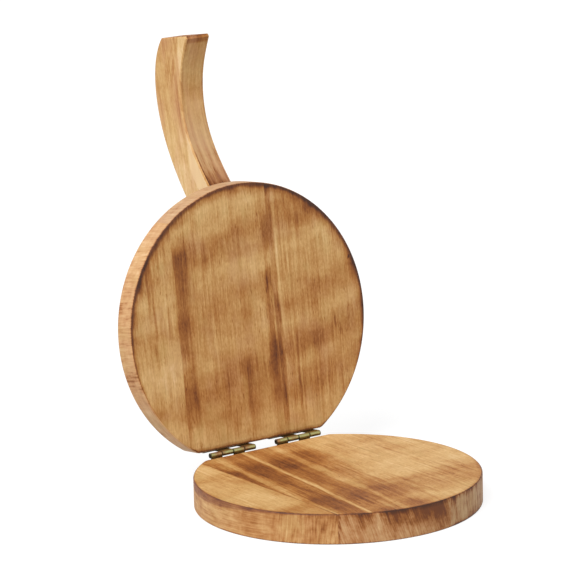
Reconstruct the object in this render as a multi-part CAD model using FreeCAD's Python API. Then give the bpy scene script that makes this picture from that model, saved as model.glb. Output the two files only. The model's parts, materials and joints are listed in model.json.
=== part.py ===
"""Wooden tortilla press: two round boards on a pair of butt hinges, with a curved handle on the lid.

Millimetres, +Z up.
The origin is the centre of the base board's underside, X runs along the hinge line,
and the hinges are at +Y.
Each piece is drawn with the press closed and the lid level.
The lid's pieces are then turned about the hinge line to the open rest pose.
"""
import FreeCAD, Part
import math
import os

# Boards
disc_diameter = 184.0
base_thickness = 19.5
lid_thickness = 16.0
hinge_flat_depth = 14.2           # cut off the round board for its straight hinge edge
hinge_flat_corner_radius = 6.0
board_arris_radius = 1.1
middle_stave_width = 75.6
base_left_joint_x = -54.1         # glue joint between the left and middle staves
lid_left_joint_x = -55.3
closed_gap = 7.5                  # between the boards' faces when the lid is level
rest_open_angle = 96.5            # degrees from closed and level

# Hinges
hinge_length = 35.0
left_hinge_x = -26.7              # middle of each hinge
right_hinge_x = 25.3
leaf_width = 16.0                 # from the pin's centre to the leaf's far edge
leaf_thickness = 0.75
leaf_corner_radius = 1.5
pin_radius = 0.9
pin_running_clearance = 0.05
pin_end_recess = 0.6
axis_above_base = 1.6
knuckles_per_hinge = 4
knuckle_end_gap = 0.2
knuckle_strap_length = 7.6        # depth of the notches between a leaf's knuckle straps
leaf_screw_from_axis = 11.5
leaf_screw_end_margin = 6.5       # screw's centre to the leaf's end

# Handle, from a board sawn to a curve
handle_width = 18.4
handle_reach = 96.3               # from the lid's rim to the tip
handle_rise = 57.4                # from the lid's back to the crown of the curve
handle_foot_length = 37.5         # flat seat on the lid's back
handle_foot_inset = 6.5           # from the lid's rim to the start of the seat
handle_heel_height = 7.0
handle_arris_radius = 1.0
handle_tip_chamfer = 2.4
handle_tip_radius = 2.0
# Points of the sawn curves, as shares of handle_reach out from the rim and of handle_rise
outer_curve_shares = ((0.0, 0.676), (0.239, 0.873), (0.608, 1.0), (0.858, 0.922), (0.984, 0.777))
inner_curve_shares = (
    (1.0, 0.230), (0.880, 0.343), (0.757, 0.430), (0.571, 0.481), (0.386, 0.446), (0.143, 0.260),
)

# Screws that hold the hinge leaves
leaf_screw_length = 12.0
leaf_screw_radius = 1.3
leaf_screw_head_radius = 2.5
leaf_screw_head_height = 1.5

# Screws that hold the handle's foot
foot_screw_length = 20.0
foot_screw_radius = 2.0
foot_screw_head_radius = 3.6
foot_screw_head_height = 2.2
foot_screw_seat_height = 8.5      # head's top above the lid's back
foot_screw_spacing = 14.0
counterbore_radius = 4.2

# Shares of a screw's own sizes
screw_point_share = 0.25
recess_arm_share = 0.62
recess_slot_share = 0.2
recess_depth_share = 0.6

cut_overrun = 5.0
match_tolerance = 0.001           # for finding edges by their place

# Sizes that follow
disc_radius = disc_diameter / 2
hinge_flat_distance = disc_radius - hinge_flat_depth
lid_bottom = base_thickness + closed_gap
lid_back = lid_bottom + lid_thickness
barrel_radius = pin_radius + pin_running_clearance + leaf_thickness
axis_y = hinge_flat_distance + barrel_radius
axis_z = base_thickness + axis_above_base
knuckle_pitch = (hinge_length + knuckle_end_gap) / knuckles_per_hinge
knuckle_length = knuckle_pitch - knuckle_end_gap
leaf_screw_spacing = hinge_length - 2 * leaf_screw_end_margin
foot_start_y = -disc_radius + handle_foot_inset
foot_end_y = foot_start_y + handle_foot_length

X = FreeCAD.Vector(1, 0, 0)
Y = FreeCAD.Vector(0, 1, 0)
Z = FreeCAD.Vector(0, 0, 1)
ORIGIN = FreeCAD.Vector(0, 0, 0)
HINGE_POINT = FreeCAD.Vector(0, axis_y, axis_z)


def block(low, high):
    """A box between two corners."""
    size = [b - a for a, b in zip(low, high)]
    return Part.makeBox(*size, FreeCAD.Vector(*low))


def rod(radius, x_low, x_high):
    """A round bar along the hinge line."""
    return Part.makeCylinder(radius, x_high - x_low, FreeCAD.Vector(x_low, axis_y, axis_z), X)


def edges_along(shape, direction):
    """The straight edges that run along a direction."""
    found = []
    for edge in shape.Edges:
        if isinstance(edge.Curve, Part.Line):
            slope = edge.tangentAt(edge.FirstParameter).cross(direction).Length
            if slope < match_tolerance:
                found.append(edge)
    return found


def edges_at_height(shape, height):
    """The edges that lie in one level plane."""
    found = []
    for edge in shape.Edges:
        box = edge.BoundBox
        if max(abs(box.ZMin - height), abs(box.ZMax - height)) < match_tolerance:
            found.append(edge)
    return found


# Screws

def screw_envelope(length, radius, head_radius, head_height):
    """A countersunk screw without its recess: head's top at the origin, point down."""
    point_length = length * screw_point_share
    head = Part.makeCone(head_radius, radius, head_height, ORIGIN, -Z)
    shank = Part.makeCylinder(radius, length - point_length, ORIGIN, -Z)
    tip_start = FreeCAD.Vector(0, 0, point_length - length)
    tip = Part.makeCone(radius, radius * recess_slot_share, point_length, tip_start, -Z)
    return head.fuse([shank, tip]).removeSplitter()


def cross_recess(head_radius, head_height):
    """The cross slot that a driver turns."""
    arm = head_radius * recess_arm_share
    slot = head_radius * recess_slot_share
    depth = head_height * recess_depth_share
    along_x = block((-arm, -slot, -depth), (arm, slot, cut_overrun))
    along_y = block((-slot, -arm, -depth), (slot, arm, cut_overrun))
    return along_x.fuse(along_y)


def placed_screw(sizes, position, towards_minus_y):
    """A screw and its envelope, driven into -Z, or into -Y."""
    envelope = screw_envelope(*sizes)
    screw = envelope.cut(cross_recess(sizes[2], sizes[3]))
    for shape in (envelope, screw):
        if towards_minus_y:
            shape.rotate(ORIGIN, X, -90)
        shape.translate(position)
    return screw, envelope


leaf_screw_sizes = (leaf_screw_length, leaf_screw_radius, leaf_screw_head_radius, leaf_screw_head_height)
foot_screw_sizes = (foot_screw_length, foot_screw_radius, foot_screw_head_radius, foot_screw_head_height)


def leaf_screws(hinge_x, side):
    """A leaf's two screws: side is -1 for the base leaf and +1 for the lid leaf."""
    made = {}
    for place, sign in (("left", -1), ("right", 1)):
        x = hinge_x + sign * leaf_screw_spacing / 2
        y = hinge_flat_distance + leaf_thickness
        z = axis_z + side * leaf_screw_from_axis
        made[place] = placed_screw(leaf_screw_sizes, FreeCAD.Vector(x, y, z), True)
    return made


def foot_screws():
    """The two screws that hold the handle's foot, outer one first."""
    middle_y = (foot_start_y + foot_end_y) / 2
    made = {}
    for place, sign in (("outer", -1), ("inner", 1)):
        y = middle_y + sign * foot_screw_spacing / 2
        position = FreeCAD.Vector(0, y, lid_back + foot_screw_seat_height)
        made[place] = placed_screw(foot_screw_sizes, position, False)
    return made


# Boards

def board(bottom, thickness):
    """A round board with a straight hinge edge and softened edges."""
    disc = Part.makeCylinder(disc_radius, thickness, Z * bottom)
    beyond = block(
        (-disc_radius, hinge_flat_distance, bottom - cut_overrun),
        (disc_radius, disc_radius + cut_overrun, bottom + thickness + cut_overrun),
    )
    disc = disc.cut(beyond)
    corners = [
        edge for edge in edges_along(disc, Z)
        if abs(edge.CenterOfMass.y - hinge_flat_distance) < match_tolerance
    ]
    disc = disc.makeFillet(hinge_flat_corner_radius, corners)
    rims = edges_at_height(disc, bottom) + edges_at_height(disc, bottom + thickness)
    return disc.makeFillet(board_arris_radius, rims)


def staves(whole, left_joint_x, cutters):
    """A board's three glued staves, with the screw holes cut."""
    box = whole.BoundBox
    drilled = whole.cut(cutters)
    right_joint_x = left_joint_x + middle_stave_width
    joints = {
        "left": (box.XMin - cut_overrun, left_joint_x),
        "middle": (left_joint_x, right_joint_x),
        "right": (right_joint_x, box.XMax + cut_overrun),
    }
    made = {}
    for place, (x_low, x_high) in joints.items():
        slab = block(
            (x_low, box.YMin - cut_overrun, box.ZMin - cut_overrun),
            (x_high, box.YMax + cut_overrun, box.ZMax + cut_overrun),
        )
        made[place] = drilled.common(slab).Solids[0]
    return made


# Hinges

def knuckle_spans(hinge_x, side):
    """The lengths of barrel that belong to one leaf: the base leaf has the first and third."""
    start = hinge_x - hinge_length / 2
    first = 0 if side < 0 else 1
    spans = []
    for index in range(first, knuckles_per_hinge, 2):
        low = start + index * knuckle_pitch
        spans.append((low, low + knuckle_length))
    return spans


def hinge_leaf(hinge_x, side, screw_envelopes):
    """A leaf with its rolled knuckles: side is -1 for the base leaf and +1 for the lid leaf."""
    x_low = hinge_x - hinge_length / 2
    x_high = hinge_x + hinge_length / 2
    y_low = hinge_flat_distance
    y_high = hinge_flat_distance + leaf_thickness
    near = axis_z + side * knuckle_strap_length
    far = axis_z + side * leaf_width
    plate = block((x_low, y_low, min(near, far)), (x_high, y_high, max(near, far)))
    far_corners = [
        edge for edge in edges_along(plate, Y)
        if abs(edge.CenterOfMass.z - far) < match_tolerance
    ]
    plate = plate.makeFillet(leaf_corner_radius, far_corners)
    straps = []
    for span_low, span_high in knuckle_spans(hinge_x, side):
        strap_end = near + side * leaf_corner_radius
        low = (span_low, y_low, min(axis_z, strap_end))
        high = (span_high, y_high, max(axis_z, strap_end))
        straps += [block(low, high), rod(barrel_radius, span_low, span_high)]
    leaf = plate.fuse(straps)
    bore = pin_radius if side < 0 else pin_radius + pin_running_clearance
    leaf = leaf.cut([rod(bore, x_low - cut_overrun, x_high + cut_overrun)] + screw_envelopes)
    return leaf.removeSplitter()


def hinge_pin(hinge_x):
    """The pin, a little short of the barrel at each end."""
    half = hinge_length / 2 - pin_end_recess
    return rod(pin_radius, hinge_x - half, hinge_x + half)


# Handle

def handle_point(share):
    """A point of the handle's side outline, from its shares."""
    out, rise = share
    return FreeCAD.Vector(0, -disc_radius - out * handle_reach, lid_back + rise * handle_rise)


def handle_blank():
    """The curved handle with a flat foot, before its screw holes."""
    foot_start = FreeCAD.Vector(0, foot_start_y, lid_back)
    foot_end = FreeCAD.Vector(0, foot_end_y, lid_back)
    heel_top = foot_end + Z * handle_heel_height
    outer = Part.BSplineCurve()
    outer.interpolate([heel_top] + [handle_point(share) for share in outer_curve_shares])
    inner = Part.BSplineCurve()
    inner.interpolate([handle_point(share) for share in inner_curve_shares] + [foot_start])
    tip_outer = handle_point(outer_curve_shares[-1])
    tip_inner = handle_point(inner_curve_shares[0])
    outline = Part.Wire([
        Part.LineSegment(foot_start, foot_end).toShape(),
        Part.LineSegment(foot_end, heel_top).toShape(),
        outer.toShape(),
        Part.LineSegment(tip_outer, tip_inner).toShape(),
        inner.toShape(),
    ])
    blank = Part.Face(outline).extrude(X * handle_width)
    blank.translate(X * (-handle_width / 2))
    return blank


def softened_handle():
    """The handle with its tip dressed and its long edges eased."""
    blank = handle_blank()
    tip_inner = handle_point(inner_curve_shares[0])
    tip_outer = handle_point(outer_curve_shares[-1])
    cross_edges = edges_along(blank, X)
    at_inner = [e for e in cross_edges if (e.CenterOfMass - tip_inner).Length < match_tolerance]
    blank = blank.makeChamfer(handle_tip_chamfer, at_inner)
    cross_edges = edges_along(blank, X)
    at_outer = [e for e in cross_edges if (e.CenterOfMass - tip_outer).Length < match_tolerance]
    blank = blank.makeFillet(handle_tip_radius, at_outer)
    side_edges = []
    for edge in blank.Edges:
        on_side = edge.BoundBox.XLength < match_tolerance
        above_foot = edge.BoundBox.ZMax > lid_back + handle_arris_radius
        if on_side and above_foot:
            side_edges.append(edge)
    return blank.makeFillet(handle_arris_radius, side_edges)


def handle(screws):
    """The handle with its counterbored screw holes."""
    cutters = []
    for screw, envelope in screws.values():
        centre = screw.BoundBox.Center
        seat = FreeCAD.Vector(centre.x, centre.y, lid_back + foot_screw_seat_height)
        cutters += [envelope, Part.makeCylinder(counterbore_radius, handle_rise, seat, Z)]
    return softened_handle().cut(cutters)


def build():
    """Every piece of the press by name, in the open rest pose."""
    fixed, moving = {}, {}
    base_cutters, lid_cutters = [], []
    for name, x in (("left_hinge", left_hinge_x), ("right_hinge", right_hinge_x)):
        for board_name, side, pieces, cutters in (
            ("base", -1, fixed, base_cutters),
            ("lid", 1, moving, lid_cutters),
        ):
            screws = leaf_screws(x, side)
            envelopes = [envelope for screw, envelope in screws.values()]
            cutters += envelopes
            pieces[f"{name}_{board_name}_leaf"] = hinge_leaf(x, side, envelopes)
            for place, (screw, envelope) in screws.items():
                pieces[f"{name}_{board_name}_screw_{place}"] = screw
        fixed[f"{name}_pin"] = hinge_pin(x)
    handle_screws = foot_screws()
    moving["handle"] = handle(handle_screws)
    for place, (screw, envelope) in handle_screws.items():
        moving[f"handle_screw_{place}"] = screw
        lid_cutters.append(envelope)
    base_board = board(0, base_thickness)
    for place, stave in staves(base_board, base_left_joint_x, base_cutters).items():
        fixed[f"base_stave_{place}"] = stave
    lid_board = board(lid_bottom, lid_thickness)
    for place, stave in staves(lid_board, lid_left_joint_x, lid_cutters).items():
        moving[f"lid_stave_{place}"] = stave
    for piece in moving.values():
        piece.rotate(HINGE_POINT, X, -rest_open_angle)
    return {**fixed, **moving}


os.makedirs("parts", exist_ok=True)
for node, shape in build().items():
    solid = shape.Solids[0]
    print(f"{node}: {len(shape.Solids)} solid, valid {solid.isValid()}, {solid.Volume:.1f} mm3")
    solid.exportStep(f"parts/{node}.step")
closing = math.degrees(math.asin((closed_gap - axis_above_base) / (axis_y + disc_radius)))
closing += math.degrees(math.asin(axis_above_base / (axis_y + disc_radius)))
print(f"hinge axis y {axis_y:.3f} z {axis_z:.3f}, rims meet {closing:.2f} degrees past level")
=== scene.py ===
"""The wooden tortilla press, dressed: scorched boards and handle on antique brass hinges.

The frame's pieces keep their meshes, and each gets a procedural material.
Shader positions are in millimetres on the closed press, so grain and scorching
stay with the wood when the lid turns.
"""
import bpy
import json
from math import cos, radians, sin
from typing import NamedTuple
from mathutils import Matrix, Vector

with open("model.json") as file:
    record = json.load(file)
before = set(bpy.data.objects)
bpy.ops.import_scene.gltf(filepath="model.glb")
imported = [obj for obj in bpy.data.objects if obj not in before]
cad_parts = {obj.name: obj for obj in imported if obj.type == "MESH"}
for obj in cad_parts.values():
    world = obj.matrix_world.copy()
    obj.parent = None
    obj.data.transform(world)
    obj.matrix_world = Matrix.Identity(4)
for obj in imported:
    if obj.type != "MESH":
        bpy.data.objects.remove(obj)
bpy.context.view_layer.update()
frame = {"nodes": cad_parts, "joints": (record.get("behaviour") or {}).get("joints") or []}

MM = 1000.0
LID_OPEN_DEGREES = 96.5
HINGE = Vector(frame["joints"][0]["pos_m"])

BASE_STAVES = ("base_stave_left", "base_stave_middle", "base_stave_right")
LID_STAVES = ("lid_stave_left", "lid_stave_middle", "lid_stave_right")


def srgb(red, green, blue):
    """A colour as it is seen, 0 to 255 a channel, in linear light."""
    def linear(level):
        share = level / 255
        return share / 12.92 if share <= 0.04045 else ((share + 0.055) / 1.055) ** 2.4
    return (linear(red), linear(green), linear(blue), 1.0)


def grey(level):
    """A grey in linear light."""
    return (level, level, level, 1.0)


# The closed press, measured from the frame

def closing_turn():
    """The turn that brings the lid's pieces from the open rest pose to closed and level."""
    there = Matrix.Translation(HINGE)
    return there @ Matrix.Rotation(radians(LID_OPEN_DEGREES), 4, "X") @ there.inverted()


def closed_span(names, turn):
    """The lowest and highest corners of some pieces with the press closed, in millimetres."""
    points = [turn @ v.co * MM for name in names for v in frame["nodes"][name].data.vertices]
    low = Vector(min(p[axis] for p in points) for axis in range(3))
    high = Vector(max(p[axis] for p in points) for axis in range(3))
    return low, high


BASE_LOW, BASE_HIGH = closed_span(BASE_STAVES, Matrix.Identity(4))
LID_LOW, LID_HIGH = closed_span(LID_STAVES, closing_turn())
HANDLE_LOW, HANDLE_HIGH = closed_span(("handle",), closing_turn())
DISC_RADIUS = (BASE_HIGH.x - BASE_LOW.x) / 2
HINGE_EDGE_Y = BASE_HIGH.y


# Shader helpers

# How far a texture's seed shifts it along each axis, and where a patch has fully faded, in half
# widths
SEED_SHIFT = (1.0, 1.7, 0.6)
PATCH_EDGE = 1.25


class Texture(NamedTuple):
    """A random texture: its features' size in millimetres along each axis, and its settings."""
    sizes: tuple
    seed: float
    detail: float = 2.0
    roughness: float = 0.5
    strength: float = 1.0


class Nodes:
    """The nodes of one material or world."""

    def __init__(self, tree):
        self.tree = tree
        tree.nodes.clear()

    def node(self, kind, inputs=(), **settings):
        """A node with its settings and inputs, each input a value or another node's output."""
        node = self.tree.nodes.new(kind)
        for key, value in settings.items():
            setattr(node, key, value)
        for key, value in dict(inputs).items():
            if isinstance(value, bpy.types.NodeSocket):
                self.tree.links.new(value, node.inputs[key])
            else:
                node.inputs[key].default_value = value
        return node

    def math(self, operation, a, b=0.0, c=0.0):
        return self.node("ShaderNodeMath", {0: a, 1: b, 2: c}, operation=operation).outputs[0]

    def add(self, *terms):
        total = terms[0]
        for term in terms[1:]:
            total = self.math("ADD", total, term)
        return total

    def times(self, *factors):
        product = factors[0]
        for factor in factors[1:]:
            product = self.math("MULTIPLY", product, factor)
        return product

    def minus(self, a, b):
        return self.math("SUBTRACT", a, b)

    def greater(self, *values):
        greatest = values[0]
        for value in values[1:]:
            greatest = self.math("MAXIMUM", greatest, value)
        return greatest

    def other(self, share):
        """What a share leaves of the whole."""
        return self.minus(1.0, share)

    def between(self, share, start, end):
        """The value at a share of the way from start to end."""
        inputs = {"Value": share, "To Min": start, "To Max": end}
        return self.node("ShaderNodeMapRange", inputs).outputs["Result"]

    def fade(self, value, start, end):
        """0 where value is at start and 1 where it is at end, eased between."""
        inputs = {"Value": value, "From Min": start, "From Max": end}
        node = self.node("ShaderNodeMapRange", inputs, interpolation_type="SMOOTHSTEP")
        return node.outputs["Result"]

    def blend(self, share, a, b):
        """One level where share is 0, and the other where it is 1."""
        return self.add(self.times(a, self.other(share)), self.times(b, share))

    def mix(self, share, a, b):
        """One colour where share is 0, and the other where it is 1."""
        return self.node("ShaderNodeMix", {0: share, 6: a, 7: b}, data_type="RGBA").outputs[2]

    def ramp(self, value, stops):
        """A colour ramp with its stops as (place from 0 to 1, colour)."""
        node = self.node("ShaderNodeValToRGB", {0: value})
        elements = node.color_ramp.elements
        while len(elements) < len(stops):
            elements.new(1.0)
        for element, (place, colour) in zip(elements, stops):
            element.position = place
            element.color = colour
        return node.outputs["Color"]

    def profile(self, value, points):
        """A level that follows given points along one direction: (millimetres, level)."""
        start, end = points[0][0], points[-1][0]
        inputs = {"Value": value, "From Min": start, "From Max": end}
        share = self.node("ShaderNodeMapRange", inputs).outputs["Result"]
        # A ramp holds no level below 0, so the lowest one is 0 there
        lowest = min(level for _, level in points)
        stops = [((place - start) / (end - start), grey(level - lowest)) for place, level in points]
        red = self.node("ShaderNodeSeparateColor", {0: self.ramp(share, stops)}).outputs[0]
        return self.add(red, lowest)

    def axes(self, vector):
        return self.node("ShaderNodeSeparateXYZ", {0: vector}).outputs

    def point(self, x, y, z=0.0):
        return self.node("ShaderNodeCombineXYZ", {0: x, 1: y, 2: z}).outputs[0]

    def turned(self, vector, centre, degrees):
        """Positions turned about a line along X."""
        inputs = {0: vector, "Center": centre, "Angle": radians(degrees)}
        return self.node("ShaderNodeVectorRotate", inputs, rotation_type="X_AXIS").outputs[0]

    def stretched(self, vector, sizes, shift):
        """Positions counted in sizes, so that a texture's features are about that large."""
        inputs = {0: vector, 1: tuple(1 / size for size in sizes), 2: shift}
        return self.node("ShaderNodeVectorMath", inputs, operation="MULTIPLY_ADD").outputs[0]

    def noise(self, vector, texture, seed=0.0):
        """Smooth random values about 0, mostly within half the texture's strength."""
        shift = tuple((seed + texture.seed) * share for share in SEED_SHIFT)
        where = self.stretched(vector, texture.sizes, shift)
        inputs = {"Vector": where, "Scale": 1.0}
        inputs.update({"Detail": texture.detail, "Roughness": texture.roughness})
        value = self.node("ShaderNodeTexNoise", inputs).outputs["Fac"]
        return self.times(self.minus(value, 0.5), 2.0 * texture.strength)

    def patches(self, where, patches):
        """Soft scorched or paler places: (x, y, half width, half length, change of tone)."""
        total = 0.0
        for x, y, half_width, half_length, change in patches:
            shift = (-x / half_width, -y / half_length, 0.0)
            offset = self.stretched(where, (half_width, half_length, 1.0), shift)
            length = self.node("ShaderNodeVectorMath", {0: offset}, operation="LENGTH")
            spread = self.fade(length.outputs["Value"], PATCH_EDGE, 0.0)
            total = self.add(total, self.times(spread, change))
        return total

    def bump(self, height, depth_mm):
        inputs = {"Height": height, "Distance": depth_mm / MM, "Strength": 1.0}
        return self.node("ShaderNodeBump", inputs).outputs[0]

    def seen(self):
        """1 to the camera and in metal and glass, and 0 to what lights the object."""
        rays = self.node("ShaderNodeLightPath").outputs
        return self.greater(rays["Is Camera Ray"], rays["Is Glossy Ray"],
                            rays["Is Transmission Ray"])


class Shader(Nodes):
    """The nodes of one material."""

    def __init__(self, name):
        self.material = bpy.data.materials.new(name)
        self.material.use_nodes = True
        super().__init__(self.material.node_tree)

    def closed_point(self, on_lid):
        """The surface point in millimetres with the press closed."""
        place = self.node("ShaderNodeTexCoord").outputs["Object"]
        inputs = {0: place, "Scale": MM}
        place = self.node("ShaderNodeVectorMath", inputs, operation="SCALE").outputs[0]
        return self.turned(place, HINGE * MM, LID_OPEN_DEGREES) if on_lid else place

    def finish(self, **inputs):
        """The surface shader, with its inputs by name, and the material."""
        named = {key.replace("_", " "): value for key, value in inputs.items()}
        surface = self.node("ShaderNodeBsdfPrincipled", named)
        self.node("ShaderNodeOutputMaterial", {"Surface": surface.outputs[0]})
        return self.material


# Wood

# Scorching darkens the wood from 0, bare, to 1, charred
WOOD_TONES = (
    (0.00, srgb(240, 206, 156)),
    (0.20, srgb(221, 180, 120)),
    (0.38, srgb(198, 148, 88)),
    (0.52, srgb(178, 120, 62)),
    (0.66, srgb(153, 94, 44)),
    (0.82, srgb(119, 67, 34)),
    (1.00, srgb(66, 38, 25)),
)
WOOD_SHINE = 0.25

# Grain along Y. A stave's own seed is added to each texture's
FIBRES = Texture((0.75, 13, 12), seed=0, detail=3, roughness=0.7)
STREAKS = Texture((1.9, 48, 40), seed=3, detail=3, roughness=0.6)
STREAK_STRENGTH = Texture((22, 34, 30), seed=13, detail=1, strength=0.4)
SPECKLE = Texture((1.1, 2.4, 2.4), seed=5, roughness=0.6, strength=0.15)
MOTTLING = Texture((24, 11, 20), seed=7, detail=3, strength=0.16)
PORES = Texture((0.7, 5.5, 5), seed=23, detail=1)
PORE_LEVELS = (0.22, 0.50)
PORE_PLACES = Texture((10, 22, 30), seed=27, detail=1)
PORE_PLACE_LEVELS = (-0.10, 0.30)
LEAST_STREAKS = 0.19
FIBRE_TONE, PORE_TONE = 0.17, 0.24
FIBRE_RELIEF, PORE_RELIEF = 0.6, -0.4


def grain(shader, along, place, seed):
    """Growth lines, pores and mottling that run along Y, as a change of tone, and their relief."""
    fibres = shader.noise(along, FIBRES, seed)
    streaks = shader.noise(along, STREAKS, seed)
    streak_strength = shader.add(LEAST_STREAKS, shader.noise(place, STREAK_STRENGTH, seed))
    pores = shader.fade(shader.noise(along, PORES, seed), *PORE_LEVELS)
    with_pores = shader.fade(shader.noise(along, PORE_PLACES, seed), *PORE_PLACE_LEVELS)
    tone = shader.add(
        shader.times(fibres, FIBRE_TONE),
        shader.times(streaks, streak_strength),
        shader.noise(along, SPECKLE, seed),
        shader.noise(place, MOTTLING, seed),
        shader.times(pores, with_pores, PORE_TONE),
    )
    relief = shader.add(shader.times(fibres, FIBRE_RELIEF), shader.times(pores, PORE_RELIEF))
    return tone, relief


# The boards

class BurnAndShade(NamedTuple):
    """A dark arris line with a brown glow beside it, strongest at the front: burnt, and partly
    painted shade by the hinges and along the base's bottom.
    """
    line: tuple  # Its width on the face and on the rim, in millimetres, and its strength
    glow: tuple  # The same for the glow
    sides: float  # The share of the burn that is left on the other sides
    # Along the hinges the dark line is partly painted shade in the joint between the lid and the
    # base
    hinge_side: float  # The same along the hinges


class Stave(NamedTuple):
    """How one stave looks. Places are in millimetres, and levels are tones of scorching."""
    seed: float
    face_burn_and_shade: BurnAndShade
    # On the base the back is its bottom, whose dark line is partly painted shade where it rests on
    # the floor
    back_burn_and_shade: BurnAndShade
    across: tuple  # The face's levels along X
    bands: tuple  # Levels along Y that are added to them
    patches: tuple  # Scorched or paler places on the face
    pink: float  # How pink the wood is
    rim_tone: float
    rim_marks: float  # The strength of the marks across the rim
    rim_lean: float  # How far these lean, in millimetres for each in depth
    rim_grey: float  # The share of the rim's tint
    rim_tint: tuple  # That tint, 0 to 255 a channel
    slant: float = 0.0  # How far the grain leans, in millimetres for each along Y
    band_slant: float = 0.0  # How far the bands lean, in millimetres for each along X
    burn_turn: float = 0.0  # How far the burn's strongest side lies to the left
    # The rim's places are (millimetres around it, leftwards from the front; depth below the top)
    rim_patches: tuple = ()
    rim_fibres: tuple = ()  # Where fibres take the place of marks: start, end and strength
    rim_band: tuple = ()  # The depth of the stained band along the rim


# Waver and ragged borders of the grain and the scorching
WAVER = Texture((45, 120, 60), seed=11, detail=1, strength=1.6)
RAGGED_ACROSS = Texture((3, 30, 40), seed=17, detail=3, roughness=0.6, strength=2.6)
RAGGED_ALONG = Texture((2.5, 40, 40), seed=19, detail=3, roughness=0.65, strength=6.0)
DRIFT = Texture((30, 30, 40), seed=21, detail=1, strength=9.0)

# The hidden side: how deep it starts, and its more even scorching
HIDDEN_SIDE = (4.0, 8.0)
HIDDEN_TONE = 0.36
HIDDEN_CONTRAST = 0.35
HIDDEN_CLOUDS = Texture((38, 26, 40), seed=53, strength=0.3)

# The rim, whose textures lie around it and down it
RIM_EDGE = (0.9, 0.4)
RIM_MARKS = Texture((0.9, 10, 1), seed=29, detail=3, roughness=0.65)
RIM_BROAD_MARKS = Texture((2.4, 24, 1), seed=35, roughness=0.6, strength=0.7)
RIM_FIBRES = Texture((20, 1.0, 1), seed=33, detail=3, roughness=0.65)
RIM_MOTTLING = Texture((7, 5, 1), seed=30, detail=4, roughness=0.6, strength=0.30)
RIM_RAGGED = Texture((2, 20, 1), seed=41, detail=3, roughness=0.6, strength=5.0)
RIM_RAGGED_DOWN = 0.5

# The stained band along a rim: its edge in millimetres, how much the marks break it up, its
# change of tone and the share of its tint
STAIN_EDGE = (0.6, -1.0)
STAIN_RAGGED = 3.0
STAIN_TONE = 0.20
STAIN_SHARE = 0.30

# Their lines also carry painted shade by the hinges and along the base's bottom edge
# The burns: how uneven they are, the places along Y between which they reach full strength,
# their edge in widths and their least strength
BURN_AND_SHADE_UNEVEN = Texture((12, 9, 1), seed=31, strength=0.6)
BURN_AND_SHADE_FRONT = (45.0, -65.0)
# By the hinges the lines are partly painted shade in the joint between the lid and the base
BURN_AND_SHADE_AT_HINGES = (HINGE_EDGE_Y - 6.0, HINGE_EDGE_Y - 2.0)
BURN_AND_SHADE_EDGE = (1.2, 0.25)
BURN_AND_SHADE_LEAST = 0.6

# The darkest that scorching alone makes the face and the rim, and how softly it stops there
FACE_DARKEST = (0.80, 0.12)
RIM_DARKEST = (0.84, 0.10)

# Tints of the wood, which fade as its tone darkens, and of the stained band and the dark arris
# lines, charred and partly painted shade
BARE_TONES = (0.75, 0.35)
PINK_PLACES = Texture((14, 20, 40), seed=37)
PINK_LEVELS = (-0.1, 0.5)
PINK_TINT = srgb(204, 158, 128)
OLIVE_PLACES = Texture((11, 17, 30), seed=47)
OLIVE_LEVELS = (0.0, 0.5)
OLIVE_TINT = srgb(190, 154, 90)
OLIVE_SHARE = 0.28
STAIN_TINT = srgb(128, 86, 74)
CHAR_AND_SHADE_TINT = srgb(84, 54, 42)
CHAR_AND_SHADE_SHARE = 1.1

BOARD_ROUGHNESS = 0.56
GRAIN_ROUGHNESS = 0.25
BOARD_RELIEF_MM = 0.12


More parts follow.
